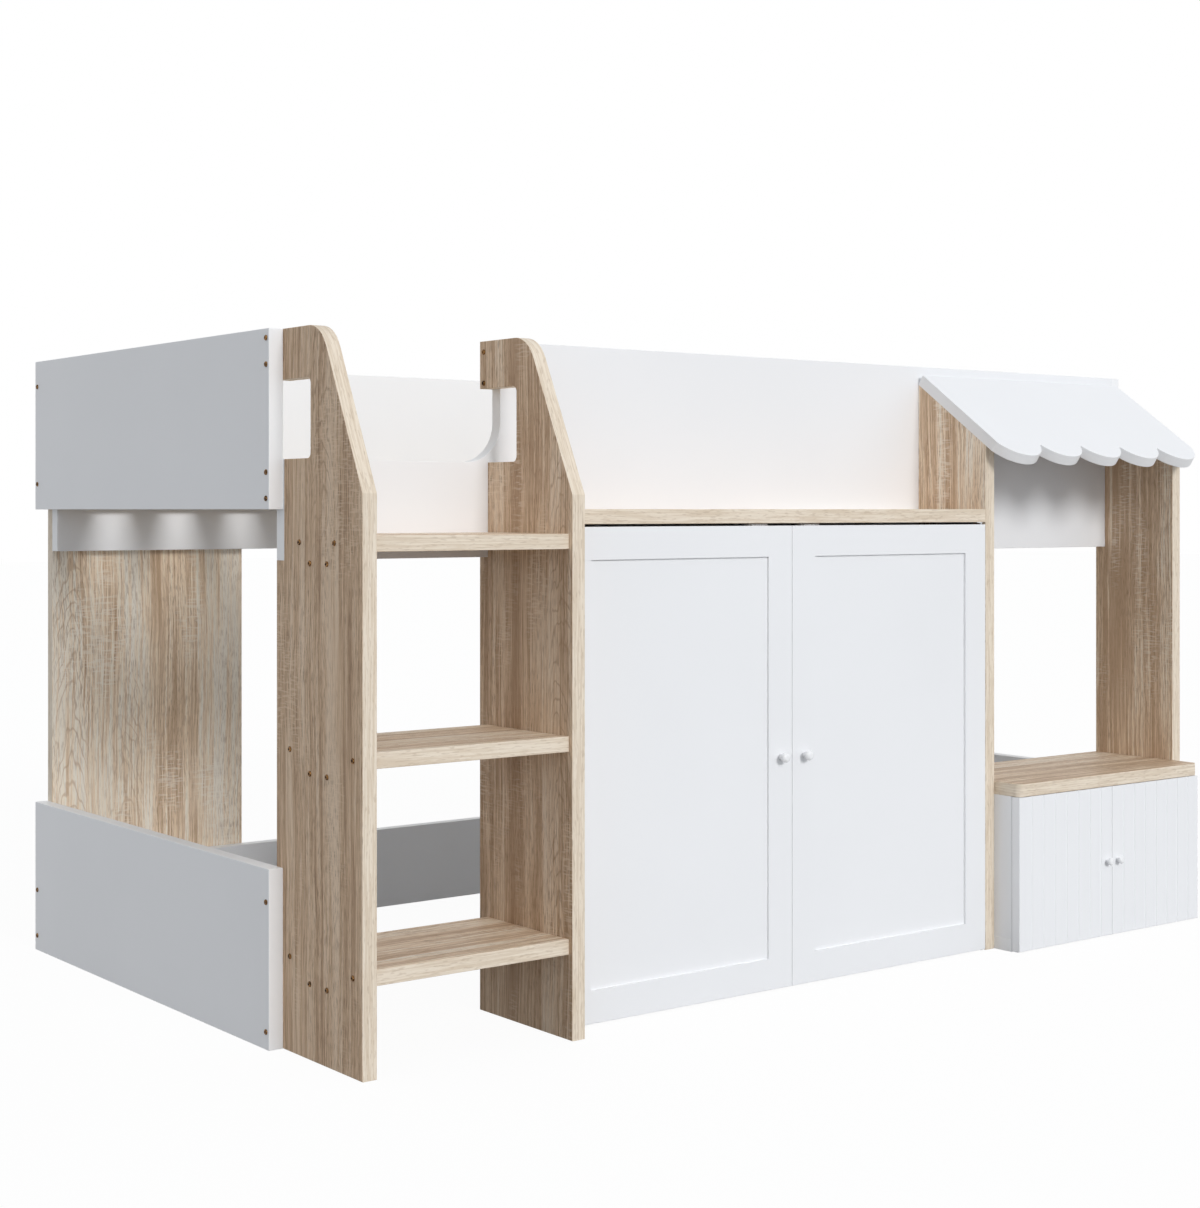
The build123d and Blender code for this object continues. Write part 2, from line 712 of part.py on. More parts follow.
builders = (end_panels, front_guard, back_boards, ladder, shop_sides, awning, slatted_base, slat_screws,
            cupboard, cupboard_doors, bench, bench_doors, door_pivots, angle_brackets, brass_screws)
for build in builders:
    build()

os.makedirs("parts", exist_ok=True)
for name, shape in parts.items():
    solids = shape if isinstance(shape, list) else [shape]
    placed = [origin * solid for solid in solids]
    whole = placed[0] if len(placed) == 1 else Compound(placed)
    whole.label = name
    export_step(whole, f"parts/{name}.step")
print(len(parts), "nodes, bed", bed_length, "x", y_back_most - y_front_most, "x", bed_height)
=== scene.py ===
import bpy
import bmesh
import math
from mathutils import Matrix, Vector


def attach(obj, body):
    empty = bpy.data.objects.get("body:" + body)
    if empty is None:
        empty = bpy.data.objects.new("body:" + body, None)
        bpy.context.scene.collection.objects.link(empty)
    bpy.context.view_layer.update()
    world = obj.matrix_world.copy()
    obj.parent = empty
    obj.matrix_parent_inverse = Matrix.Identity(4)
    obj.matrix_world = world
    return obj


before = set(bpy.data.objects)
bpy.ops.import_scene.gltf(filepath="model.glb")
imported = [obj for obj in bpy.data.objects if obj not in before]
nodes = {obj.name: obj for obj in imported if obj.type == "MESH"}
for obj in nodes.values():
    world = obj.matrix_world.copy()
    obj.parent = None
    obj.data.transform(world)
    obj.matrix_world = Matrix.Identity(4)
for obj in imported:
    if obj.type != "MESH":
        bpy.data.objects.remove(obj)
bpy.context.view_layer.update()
print("loft bed: frame loaded,", len(nodes), "nodes")


# Small helpers for shader trees.
def newMaterial(name):
    material = bpy.data.materials.new(name)
    material.use_nodes = True
    tree = material.node_tree
    tree.nodes.clear()
    return material, tree


def add(tree, kind, inputs=None, **settings):
    node = tree.nodes.new(kind)
    for key, value in settings.items():
        setattr(node, key, value)
    for key, value in (inputs or {}).items():
        if isinstance(value, bpy.types.NodeSocket):
            tree.links.new(value, node.inputs[key])
        else:
            node.inputs[key].default_value = value
    return node


def maths(tree, operation, first, second=0.0, third=0.0):
    node = add(tree, "ShaderNodeMath", {0: first, 1: second, 2: third}, operation=operation)
    return node.outputs[0]


def vectorMaths(tree, operation, first, second):
    node = add(tree, "ShaderNodeVectorMath", {0: first, 1: second}, operation=operation)
    return node.outputs[0]


def combine(tree, first, second, third):
    return add(tree, "ShaderNodeCombineXYZ", {0: first, 1: second, 2: third}).outputs[0]


def around(tree, value, share, base):
    # a noise value's distance from its middle, times a share, on top of a base
    return maths(tree, "MULTIPLY_ADD", maths(tree, "SUBTRACT", value, 0.5), share, base)


def noise(tree, place, scale, detail=2.0, roughness=0.5):
    # scale says how many grains there are per metre across, through and along
    values = {
        "Vector": vectorMaths(tree, "MULTIPLY", place, scale),
        "Scale": 1.0,
        "Detail": detail,
        "Roughness": roughness,
        "Distortion": 0.0,
    }
    return add(tree, "ShaderNodeTexNoise", values).outputs["Fac"]


def ramp(tree, factor, stops):
    # stops is a list of (place, colour)
    node = add(tree, "ShaderNodeValToRGB", {"Fac": factor})
    elements = node.color_ramp.elements
    while len(elements) < len(stops):
        elements.new(0.5)
    for element, (place, colour) in zip(elements, stops):
        element.position = place
        element.color = (*colour, 1.0)
    return node.outputs["Color"]


def smooth(tree, value, low, high, outLow=0.0, outHigh=1.0):
    values = {"Value": value, "From Min": low, "From Max": high, "To Min": outLow, "To Max": outHigh}
    node = add(tree, "ShaderNodeMapRange", values, interpolation_type="SMOOTHSTEP")
    return node.outputs["Result"]


def mixColour(tree, factor, first, second):
    node = add(tree, "ShaderNodeMix", data_type="RGBA", blend_type="MIX")
    for socket, value in ((node.inputs[0], factor), (node.inputs[6], first), (node.inputs[7], second)):
        if isinstance(value, bpy.types.NodeSocket):
            tree.links.new(value, socket)
        else:
            socket.default_value = (*value, 1.0)
    return node.outputs[2]


def stain(tree, mask, share, base, colour):
    # lays a colour over a base where the mask is high
    return mixColour(tree, maths(tree, "MULTIPLY", mask, share), base, colour)


def finishSurface(tree, colour, roughness, height, bump, **sockets):
    shader = add(tree, "ShaderNodeBsdfPrincipled", {"Base Color": colour, "Roughness": roughness})
    for key, value in sockets.items():
        shader.inputs[key.replace("_", " ")].default_value = value
    values = {"Height": height, "Strength": bump["strength"], "Distance": bump["distance"]}
    normal = add(tree, "ShaderNodeBump", values).outputs["Normal"]
    tree.links.new(normal, shader.inputs["Normal"])
    output = add(tree, "ShaderNodeOutputMaterial")
    tree.links.new(shader.outputs[0], output.inputs["Surface"])


def objectPlace(tree):
    return add(tree, "ShaderNodeTexCoord").outputs["Object"]


def boardSpace(tree, across, through, along, shift):
    # the board's own directions: across the grain, through the board, along the grain
    parts = add(tree, "ShaderNodeSeparateXYZ", {0: objectPlace(tree)})
    values = [parts.outputs["xyz".index(name)] for name in (across, through, along)]
    return [maths(tree, "ADD", value, offset) for value, offset in zip(values, shift)]


def faceShare(tree, through, limits):
    # 1 on the board's wide faces and 0 on its edges
    parts = add(tree, "ShaderNodeSeparateXYZ", {0: add(tree, "ShaderNodeTexCoord").outputs["Normal"]})
    return smooth(tree, maths(tree, "ABSOLUTE", parts.outputs["xyz".index(through)]), *limits)


# Light oak foil on the uprights, steps and tops, between a shaded and a lit palette: each board's place
# between them is painted shade or painted light on the oak's own colour.
oakLook = {
    "oakWithPaintedShade": {
        "pale": (0.66, 0.475, 0.315),
        "mid": (0.53, 0.36, 0.225),
        "deep": (0.34, 0.21, 0.12),
        "pore": (0.15, 0.085, 0.048),
        "sawMark": (0.76, 0.59, 0.43),
    },
    "oakWithPaintedLight": {
        "pale": (0.95, 0.83, 0.67),
        "mid": (0.87, 0.69, 0.505),
        "deep": (0.60, 0.42, 0.275),
        "pore": (0.32, 0.19, 0.11),
        "sawMark": (0.95, 0.88, 0.77),
    },
    "edgePale": (0.82, 0.725, 0.60),
    "edgeMid": (0.70, 0.59, 0.46),
    "edgePore": (0.42, 0.31, 0.21),
    "tonePlaces": (0.0, 0.40, 0.74, 1.0),
    "plank": 0.112,
    "plankLift": 40.0,
    "plankSeed": (7, 3.3),
    "roughness": 0.52,
    "specular": 0.35,
    "bump": {"strength": 0.35, "distance": 0.0006},
}

# Each grain has its scale, detail and roughness.
oakGrain = {
    "wander": ((3.0, 3.0, 2.2), 3.0, 0.5),
    "ripple": ((30.0, 30.0, 70.0), 1.0, 0.5),
    "broad": ((20.0, 4.0, 0.7), 3.0, 0.5),
    "medium": ((110.0, 20.0, 1.8), 3.0, 0.6),
    "fine": ((430.0, 60.0, 7.0), 2.0, 0.6),
    "knotty": ((14.0, 4.0, 5.0), 3.0, 0.55),
    "ringPatch": ((4.0, 1.0, 1.5), 0.0, 0.5),
    "pore": ((640.0, 40.0, 45.0), 2.0, 0.55),
    "poreField": ((14.0, 4.0, 3.0), 1.0, 0.5),
    "sawMark": ((45.0, 6.0, 300.0), 1.0, 0.4),
    "sawPatch": ((13.0, 3.0, 4.0), 1.0, 0.5),
    "bandStreak": ((330.0, 11.0, 11.0), 3.0, 0.6),
    "bandPore": ((420.0, 60.0, 60.0), 1.0, 0.5),
}

# How much each part of the pattern counts.
oakShare = {
    "wander": 0.035,
    "ripple": 0.0016,
    "broad": 0.32,
    "medium": 0.33,
    "fine": 0.35,
    "plankTone": 0.10,
    "ring": 0.60,
    "pore": 0.50,
    "poreField": (0.75, 0.25),
    "sawMark": 0.45,
    "joint": 0.22,
    "bandPore": 0.32,
    "reliefFine": 0.7,
    "reliefPore": 0.9,
    "reliefSawMark": 0.15,
    "roughPore": 0.14,
    "roughFine": 0.10,
}

# Between which two values each part of the pattern fades in.
oakFade = {
    "tone": (0.40, 0.61),
    "ringLine": (0.70, 0.99),
    "ringPlank": (0.60, 0.68),
    "ringPatch": (0.46, 0.60),
    "ringMiddle": (0.42, 0.18),
    "pore": (0.50, 0.62),
    "poreField": (0.25, 0.65),
    "sawMark": (0.51, 0.62),
    "sawPatch": (0.50, 0.66),
    "joint": (0.488, 0.498),
    "bandStreak": (0.38, 0.62),
    "bandPore": (0.56, 0.68),
    "face": (0.62, 0.80),
}

# The arches of the cathedral figure.
oakRings = {"power": 1.7, "hump": 2.4, "length": 3.2, "wobble": 1.1, "count": 13.0}

# Each board has its directions across, through and along the grain, its tone and its seed. The tone is
# painted light and shade: it is high on boards the lamps light too dimly and low on the left ladder side,
# which they light too brightly.
oakBoards = {
    "ladder_side_left": ("y", "x", "z", 0.0, 0.31),
    "ladder_side_right": ("y", "x", "z", 0.42, 1.17),
    "shop_side_left": ("y", "x", "z", 0.95, 2.43),
    "shop_side_right": ("y", "x", "z", 1.0, 3.71),
    "back_leg_left": ("x", "y", "z", 1.0, 4.29),
    "back_leg_right": ("x", "y", "z", 1.0, 5.53),
    "ladder_step_1": ("y", "z", "x", 0.95, 6.11),
    "ladder_step_2": ("y", "z", "x", 0.95, 7.37),
    "ladder_step_3": ("y", "z", "x", 0.95, 8.83),
    "cupboard_top": ("y", "z", "x", 0.75, 9.59),
    "bench_top": ("y", "z", "x", 0.82, 10.27),
    "cupboard_shelf": ("y", "z", "x", 0.75, 11.41),
    "cupboard_floor": ("y", "z", "x", 0.75, 12.67),
}
oakShift = {"across": 1.0, "through": 0.5, "along": 1.3, "plank": 0.021}


def oakMaterial(name, across, through, along, tone, seed):
    look = oakLook
    oakColoursWithPaintedLight = {}
    # each board's colours are mixed from the shaded towards the lit palette by its tone, which paints
    # light and shade over the oak's own colour
    for key, oakWithPaintedShade in look["oakWithPaintedShade"].items():
        oakColoursWithPaintedLight[key] = tuple(a + (b - a) * tone for a, b in zip(oakWithPaintedShade, look["oakWithPaintedLight"][key]))
    shift = [seed * oakShift[key] for key in ("across", "through", "along")]
    material, tree = newMaterial(name)
    c, n, g = boardSpace(tree, across, through, along, shift)
    place = combine(tree, c, n, g)

    def grain(key, where):
        return noise(tree, where, *oakGrain[key])

    def fade(key, value):
        return smooth(tree, value, *oakFade[key])

    def times(first, second):
        return maths(tree, "MULTIPLY", first, second)

    # slow wander and small ripple of the grain lines
    bent = around(tree, grain("wander", place), oakShare["wander"], c)
    rippled = around(tree, grain("ripple", place), oakShare["ripple"], bent)
    lines = combine(tree, rippled, n, g)

    # planks of the printed pattern, each with its own tone and stretch of grain
    plankShift = seed * oakShift["plank"]
    position = maths(tree, "DIVIDE", maths(tree, "ADD", c, plankShift), look["plank"])
    stretch, start = look["plankSeed"]
    drawn = maths(tree, "ADD", maths(tree, "FLOOR", position), shift[0] * stretch + start)
    random = add(tree, "ShaderNodeTexWhiteNoise", {"W": drawn}, noise_dimensions="1D").outputs["Value"]
    local = maths(tree, "SUBTRACT", maths(tree, "FRACT", position), 0.5)
    fromMiddle = maths(tree, "ABSOLUTE", local)
    lift = times(random, look["plankLift"])
    grainPlace = vectorMaths(tree, "ADD", lines, combine(tree, 0.0, lift, lift))

    # broad, medium and fine streaks
    fine = grain("fine", grainPlace)
    streaks = times(grain("medium", grainPlace), oakShare["medium"])
    streaks = maths(tree, "MULTIPLY_ADD", grain("broad", grainPlace), oakShare["broad"], streaks)
    streaks = maths(tree, "MULTIPLY_ADD", fine, oakShare["fine"], streaks)
    toned = fade("tone", around(tree, random, oakShare["plankTone"], streaks))
    colours = [oakColoursWithPaintedLight[key] for key in ("deep", "mid", "pale", "sawMark")]
    face = ramp(tree, toned, list(zip(look["tonePlaces"], colours)))

    # cathedral figure on some planks
    hump = times(maths(tree, "POWER", fromMiddle, oakRings["power"]), oakRings["hump"])
    arch = maths(tree, "ADD", times(g, oakRings["length"]), hump)
    arch = maths(tree, "MULTIPLY_ADD", grain("knotty", grainPlace), oakRings["wobble"], arch)
    rings = maths(tree, "PINGPONG", times(arch, oakRings["count"]), 1.0)
    ringArea = times(fade("ringPlank", random), fade("ringPatch", grain("ringPatch", grainPlace)))
    ringLines = times(fade("ringLine", rings), fade("ringMiddle", fromMiddle))
    face = stain(tree, times(ringArea, ringLines), oakShare["ring"], face, oakColoursWithPaintedLight["deep"])

    # short dark pores
    poreField = fade("poreField", grain("poreField", place))
    poreArea = maths(tree, "MULTIPLY_ADD", poreField, *oakShare["poreField"])
    pores = times(fade("pore", grain("pore", grainPlace)), poreArea)
    face = stain(tree, pores, oakShare["pore"], face, oakColoursWithPaintedLight["pore"])

    # pale saw marks across the grain, in loose patches
    sawMarks = times(fade("sawMark", grain("sawMark", place)), fade("sawPatch", grain("sawPatch", place)))
    face = stain(tree, sawMarks, oakShare["sawMark"], face, oakColoursWithPaintedLight["sawMark"])

    # plank joints show as a thin change of tone
    face = stain(tree, fade("joint", fromMiddle), oakShare["joint"], face, oakColoursWithPaintedLight["deep"])

    # paler band glued on the edges
    bandPlace = combine(tree, n, c, g)
    bandStreak = fade("bandStreak", grain("bandStreak", bandPlace))
    bandPore = fade("bandPore", grain("bandPore", bandPlace))
    band = mixColour(tree, bandStreak, look["edgeMid"], look["edgePale"])
    band = stain(tree, bandPore, oakShare["bandPore"], band, look["edgePore"])
    colour = mixColour(tree, faceShare(tree, through, oakFade["face"]), band, face)

    # relief and gloss follow the pores
    relief = times(fine, oakShare["reliefFine"])
    relief = maths(tree, "SUBTRACT", relief, times(pores, oakShare["reliefPore"]))
    relief = maths(tree, "MULTIPLY_ADD", sawMarks, oakShare["reliefSawMark"], relief)
    rough = maths(tree, "MULTIPLY_ADD", pores, oakShare["roughPore"], look["roughness"])
    rough = around(tree, fine, oakShare["roughFine"], rough)
    finishSurface(tree, colour, rough, relief, look["bump"], Specular_IOR_Level=look["specular"])
    return material


# Satin white foil on the panels, guards, doors and awning.
whiteLook = {
    "colour": (0.865, 0.872, 0.888),
    "edgeColour": (0.90, 0.905, 0.915),
    "cloudShade": 0.985,
    "cloud": (2.5, 2.5, 2.5),
    "cloudFade": (0.35, 0.65),
    "peel": ((520.0, 520.0, 520.0), 2.0, 0.45),
    "smear": ((9.0, 9.0, 9.0), 3.0, 0.6),
    "smearShare": 0.10,
    "faceFade": (0.62, 0.85),
    "roughness": 0.42,
    "panelRoughness": 0.46,
    "specular": 0.42,
    "bump": {"strength": 0.10, "distance": 0.0004},
}


def whiteMaterial(name, through, roughness):
    look = whiteLook
    material, tree = newMaterial(name)
    place = objectPlace(tree)
    cloud = smooth(tree, noise(tree, place, look["cloud"]), *look["cloudFade"])
    shade = tuple(part * look["cloudShade"] for part in look["colour"])
    face = mixColour(tree, cloud, shade, look["colour"])
    colour = mixColour(tree, faceShare(tree, through, look["faceFade"]), look["edgeColour"], face)
    rough = around(tree, noise(tree, place, *look["smear"]), look["smearShare"], roughness)
    peel = noise(tree, place, *look["peel"])
    finishSurface(tree, colour, rough, peel, look["bump"], Specular_IOR_Level=look["specular"])
    return material


# Glossy white lacquer on the knobs.
knobLook = {
    "colour": (0.88, 0.885, 0.895),
    "cloudShade": 0.97,
    "cloud": (40.0, 40.0, 40.0),
    "cloudFade": (0.35, 0.65),
    "height": (700.0, 700.0, 700.0),
    "roughness": 0.2,
    "roughnessSpread": 0.10,
    "coat": 0.3,
    "coatRoughness": 0.12,
    "bump": {"strength": 0.06, "distance": 0.0003},
}


def knobMaterial():
    look = knobLook
    material, tree = newMaterial("knobLacquer")
    place = objectPlace(tree)
    cloud = noise(tree, place, look["cloud"])
    shade = tuple(part * look["cloudShade"] for part in look["colour"])
    colour = mixColour(tree, smooth(tree, cloud, *look["cloudFade"]), shade, look["colour"])
    rough = maths(tree, "MULTIPLY_ADD", cloud, look["roughnessSpread"], look["roughness"])
    height = noise(tree, place, look["height"])
    coat = {"Coat_Weight": look["coat"], "Coat_Roughness": look["coatRoughness"]}
    finishSurface(tree, colour, rough, height, look["bump"], **coat)
    return material


# Bronze-brown plated screws and grey zinc fittings. On the screws the near-black dull colour is a painted
# dark reflection and the bright patches in it are painted glints; on the zinc the two colours are its
# mottle.
metalLook = {
    "screw": {"brightMottleAndPaintedGlint": (0.30, 0.155, 0.055), "dullMottleAndPaintedDarkReflection": (0.022, 0.011, 0.006), "roughness": 0.17},
    "zinc": {"brightMottleAndPaintedGlint": (0.72, 0.73, 0.75), "dullMottleAndPaintedDarkReflection": (0.47, 0.48, 0.50), "roughness": 0.26},
    "roughnessSpread": 0.22,
    "mottleAndPaintedGlints": ((260.0, 260.0, 260.0), 3.0, 0.6),
    "spotFade": (0.32, 0.66),
    "scratch": (1600.0, 1600.0, 120.0),
    "bump": {"strength": 0.12, "distance": 0.0002},
}


def metalMaterial(name, look):
    material, tree = newMaterial(name)
    place = objectPlace(tree)
    mottleAndPaintedGlints = smooth(tree, noise(tree, place, *metalLook["mottleAndPaintedGlints"]), *metalLook["spotFade"])
    scratch = noise(tree, place, metalLook["scratch"])
    # random patches between the dull and the bright colour: painted glints and painted dark reflections on
    # the screws, plain mottle on the zinc
    colour = mixColour(tree, mottleAndPaintedGlints, look["dullMottleAndPaintedDarkReflection"], look["brightMottleAndPaintedGlint"])
    rough = maths(tree, "MULTIPLY_ADD", scratch, metalLook["roughnessSpread"], look["roughness"])
    finishSurface(tree, colour, rough, scratch, metalLook["bump"], Metallic=1.0)
    return material


# Pine of the slats and rails.
pineLook = {
    "pale": (0.84, 0.70, 0.50),
    "late": (0.68, 0.47, 0.27),
    "knot": (0.30, 0.17, 0.09),
    "wander": (6.0, 6.0, 1.6),
    "fibre": (900.0, 300.0, 20.0),
    "knotScale": (16.0, 4.0, 2.4),
    "wanderShare": 0.09,
    "throughShare": 0.6,
    "pullShare": 0.012,
    "ringCount": 190.0,
    "lateShare": 0.55,
    "fibreShare": 0.25,
    "knotShare": 0.85,
    "lateFade": (0.45, 0.98),
    "pullFade": (0.30, 0.05),
    "knotFade": (0.075, 0.035),
    "roughness": 0.50,
    "roughnessSpread": 0.16,
    "specular": 0.35,
    "slatKinds": 3,
    "slatShift": (0.4, 0.0, 1.3),
    "railShift": (0.2, 0.1, 0.6),
    "bump": {"strength": 0.25, "distance": 0.0005},
}


def pineMaterial(name, across, through, along, shift):
    look = pineLook
    material, tree = newMaterial(name)
    c, n, g = boardSpace(tree, across, through, along, shift)
    place = combine(tree, c, n, g)

    # year rings that bend round the knots
    rings = maths(tree, "ADD", c, maths(tree, "MULTIPLY", n, look["throughShare"]))
    rings = maths(tree, "MULTIPLY_ADD", noise(tree, place, look["wander"]), look["wanderShare"], rings)
    cells = {"Vector": vectorMaths(tree, "MULTIPLY", place, look["knotScale"]), "Scale": 1.0}
    spread = add(tree, "ShaderNodeTexVoronoi", cells).outputs["Distance"]
    pull = smooth(tree, spread, *look["pullFade"])
    rings = maths(tree, "MULTIPLY_ADD", pull, look["pullShare"], rings)
    wave = maths(tree, "PINGPONG", maths(tree, "MULTIPLY", rings, look["ringCount"]), 1.0)

    late = smooth(tree, wave, *look["lateFade"])
    fibre = noise(tree, place, look["fibre"])
    knot = smooth(tree, spread, *look["knotFade"])
    colour = stain(tree, late, look["lateShare"], look["pale"], look["late"])
    colour = stain(tree, fibre, look["fibreShare"], colour, look["late"])
    colour = stain(tree, knot, look["knotShare"], colour, look["knot"])
    rough = maths(tree, "MULTIPLY_ADD", fibre, look["roughnessSpread"], look["roughness"])
    finishSurface(tree, colour, rough, fibre, look["bump"], Specular_IOR_Level=look["specular"])
    return material


# Which board gets which finish.
def dress(node, material):
    mesh = nodes[node].data
    mesh.materials.clear()
    mesh.materials.append(material)


def makePines():
    pines = []
    for index in range(pineLook["slatKinds"]):
        shift = [index * part for part in pineLook["slatShift"]]
        pines.append(pineMaterial("pineSlat%d" % index, "x", "z", "y", shift))
    return pines


def dressBoards():
    foil = whiteLook["roughness"]
    whites = {axis: whiteMaterial("whiteFoil" + axis.upper(), axis, foil) for axis in "xyz"}
    panelWhite = whiteMaterial("whitePanel", "y", whiteLook["panelRoughness"])
    pines = makePines()
    pineRail = pineMaterial("pineRail", "z", "y", "x", pineLook["railShift"])
    knob = knobMaterial()
    screw = metalMaterial("screwBronze", metalLook["screw"])
    zinc = metalMaterial("zincPlate", metalLook["zinc"])
    for name in nodes:
        if name in oakBoards:
            dress(name, oakMaterial("oak_" + name, *oakBoards[name]))
        elif name == "slat_rails":
            dress(name, pineRail)
        elif name in ("slat_screws", "door_pivots", "angle_brackets"):
            dress(name, zinc)
        elif name.startswith("slat_"):
            dress(name, pines[int(name[-2:]) % len(pines)])
        elif name == "brass_screws":
            dress(name, screw)
        elif "knob" in name:
            dress(name, knob)
        elif name.startswith(("end_panel", "bench_side")):
            dress(name, whites["x"])
        elif name in ("awning", "bench_bottom"):
            dress(name, whites["z"])
        elif name.endswith("_panel"):
            dress(name, panelWhite)
        else:
            dress(name, whites["y"])
    return {"zinc": zinc, "knob": knob}


finishes = dressBoards()
print("loft bed: boards dressed")


# Small fittings, in millimetres from the bed's left front corner.
bedCorner = (1027.5, 360.0)
meshLook = {"roundingSteps": 3, "sharpAngle": 35}


def rowPlace(x, y, z):
    return ((x - bedCorner[0]) / 1000, (y - bedCorner[1]) / 1000, z / 1000)


def boxInto(work, size, centre, rounding):
    corners = bmesh.ops.create_cube(work, size=1.0)["verts"]
    bmesh.ops.scale(work, vec=size, verts=corners)
    bmesh.ops.translate(work, vec=centre, verts=corners)
    edges = list({edge for corner in corners for edge in corner.link_edges})
    steps = meshLook["roundingSteps"]
    bmesh.ops.bevel(work, geom=edges, offset=rounding, segments=steps, profile=0.5, affect="EDGES")


def latheInto(work, rings, segments, centre):
    # rings is a list of (radius as a function of the angle, height)
    loops = []
    for radius, height in rings:
        loop = []
        for index in range(segments):
            angle = 2 * math.pi * index / segments
            reach = radius(angle)
            x = centre[0] + reach * math.cos(angle)
            y = centre[1] + reach * math.sin(angle)
            loop.append(work.verts.new((x, y, centre[2] + height)))
        loops.append(loop)
    for lower, upper in zip(loops, loops[1:]):
        for index in range(segments):
            after = (index + 1) % segments
            work.faces.new((lower[index], lower[after], upper[after], upper[index]))
    work.faces.new(list(reversed(loops[0])))
    work.faces.new(loops[-1])


def pairOf(buildInto, x, y, z=0.0):
    # two like shapes, one on each side of the middle
    work = bmesh.new()
    for side in (-1, 1):
        buildInto(work, (side * x, side * y, z))
    return work


def finishMesh(name, work):
    mesh = bpy.data.meshes.new(name)
    bmesh.ops.recalc_face_normals(work, faces=work.faces)
    work.to_mesh(mesh)
    work.free()
    for face in mesh.polygons:
        face.use_smooth = True
    mesh.set_sharp_from_angle(angle=math.radians(meshLook["sharpAngle"]))
    return mesh


def placeFitting(name, work, place, direction, body="bed_frame", finish="zinc"):
    # the mesh is made in millimetres with its outward side along +Z
    mesh = finishMesh(name, work)
    mesh.materials.append(finishes[finish])
    piece = bpy.data.objects.new(name, mesh)
    bpy.context.scene.collection.objects.link(piece)
    turn = Vector((0, 0, 1)).rotation_difference(Vector(direction)).to_matrix().to_4x4()
    mesh.transform(Matrix.Translation(rowPlace(*place)) @ turn @ Matrix.Scale(0.001, 4))
    mesh.update()
    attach(piece, body)


# Small cross-head screws. The dome is given as shares of the radius and the height.
screwHead = {
    "radius": 3.4,
    "height": 1.7,
    "dome": ((1.0, 0.0), (1.0, 0.25), (0.93, 0.58), (0.80, 0.82), (0.64, 1.0)),
    "recess": 1.9,
    "depth": 1.1,
    "crossWaist": 0.34,
    "crossArm": 0.66,
    "crossPower": 5,
    "floorShare": 0.6,
    "segments": 32,
}


def screwHeadInto(work, centre):
    plan = screwHead
    height = plan["height"]

    def circle(share):
        return lambda angle: plan["radius"] * share

    def cross(angle):
        arm = abs(math.cos(2 * angle)) ** plan["crossPower"]
        return plan["recess"] * (plan["crossWaist"] + plan["crossArm"] * arm)

    def crossFloor(angle):
        return plan["floorShare"] * cross(angle)

    rings = [(circle(share), height * rise) for share, rise in plan["dome"]]
    rings += [(cross, height), (crossFloor, height - plan["depth"])]
    latheInto(work, rings, plan["segments"], centre)


# Magnetic catches behind the doors' upper inner corners, each with a strike plate on its door.
catchPlan = {
    "width": 46.0,
    "depth": 14.0,
    "height": 15.0,
    "rounding": 2.2,
    "poleSize": (34.0, 2.6, 4.0),
    "poleReach": 1.6,
    "poleSpacing": 6.0,
    "poleRounding": 0.4,
    "screwSpacing": 34.0,
    "strikeSize": (36.0, 12.0, 0.9),
    "strikeRounding": 0.4,
    "gap": 0.5,
    "places": {
        "cupboard": {"spread": 62.0, "middle": 934.0, "doorBack": -168.0, "under": 831.5},
        "bench": {"spread": 52.0, "middle": 1732.5, "doorBack": -230.0, "under": 301.0},
    },
}


def makeCatch(name, x, doorBack, under, leafBody):
    plan = catchPlan
    width, depth, height = plan["width"], plan["depth"], plan["height"]
    strikeThickness = plan["strikeSize"][2]
    front = doorBack + strikeThickness + plan["gap"]
    middleZ = under - height / 2

    def poleInto(work, centre):
        boxInto(work, plan["poleSize"], centre, plan["poleRounding"])

    body = bmesh.new()
    boxInto(body, (width, height, depth), (0, 0, -depth / 2 - plan["poleReach"]), plan["rounding"])
    placeFitting(name + "Body", body, (x, front, middleZ), (0, -1, 0), finish="knob")
    poles = pairOf(poleInto, 0, plan["poleSpacing"] / 2, -plan["poleSize"][2] / 2)
    placeFitting(name + "Poles", poles, (x, front, middleZ), (0, -1, 0))
    heads = pairOf(screwHeadInto, plan["screwSpacing"] / 2, 0)
    place = (x, front + plan["poleReach"] + depth / 2, under - height)
    placeFitting(name + "Screws", heads, place, (0, 0, -1))
    strike = bmesh.new()
    boxInto(strike, plan["strikeSize"], (0, 0, strikeThickness / 2), plan["strikeRounding"])
    placeFitting(name + "Strike", strike, (x, doorBack, middleZ), (0, 1, 0), body=leafBody)


def makeCatches():
    for kind, plan in catchPlan["places"].items():
        for side, sign in (("left", -1), ("right", 1)):
            name = kind + "Catch" + side.capitalize()
            leaf = kind + "_door_" + side + "_leaf"
            makeCatch(name, plan["middle"] + sign * plan["spread"], plan["doorBack"], plan["under"], leaf)


# Hexagon nuts on the bolts of the steps' brackets.
nutPlan = {
    "flats": 10.0,
    "height": 5.0,
    "bore": 3.2,
    "boreDepth": 1.0,
    "chamfer": 0.7,
    "chamferShare": 0.9,
    "segments": 36,
}


def nutInto(work, centre):
    plan = nutPlan
    height = plan["height"]

    def hexagon(share):
        flat = plan["flats"] / 2 * share
        return lambda angle: flat / math.cos((angle + math.pi / 6) % (math.pi / 3) - math.pi / 6)

    def bore(angle):
        return plan["bore"]

    rings = [(hexagon(1.0), 0.0), (hexagon(1.0), height - plan["chamfer"])]
    rings += [(hexagon(plan["chamferShare"]), height), (bore, height), (bore, height - plan["boreDepth"])]
    latheInto(work, rings, plan["segments"], centre)


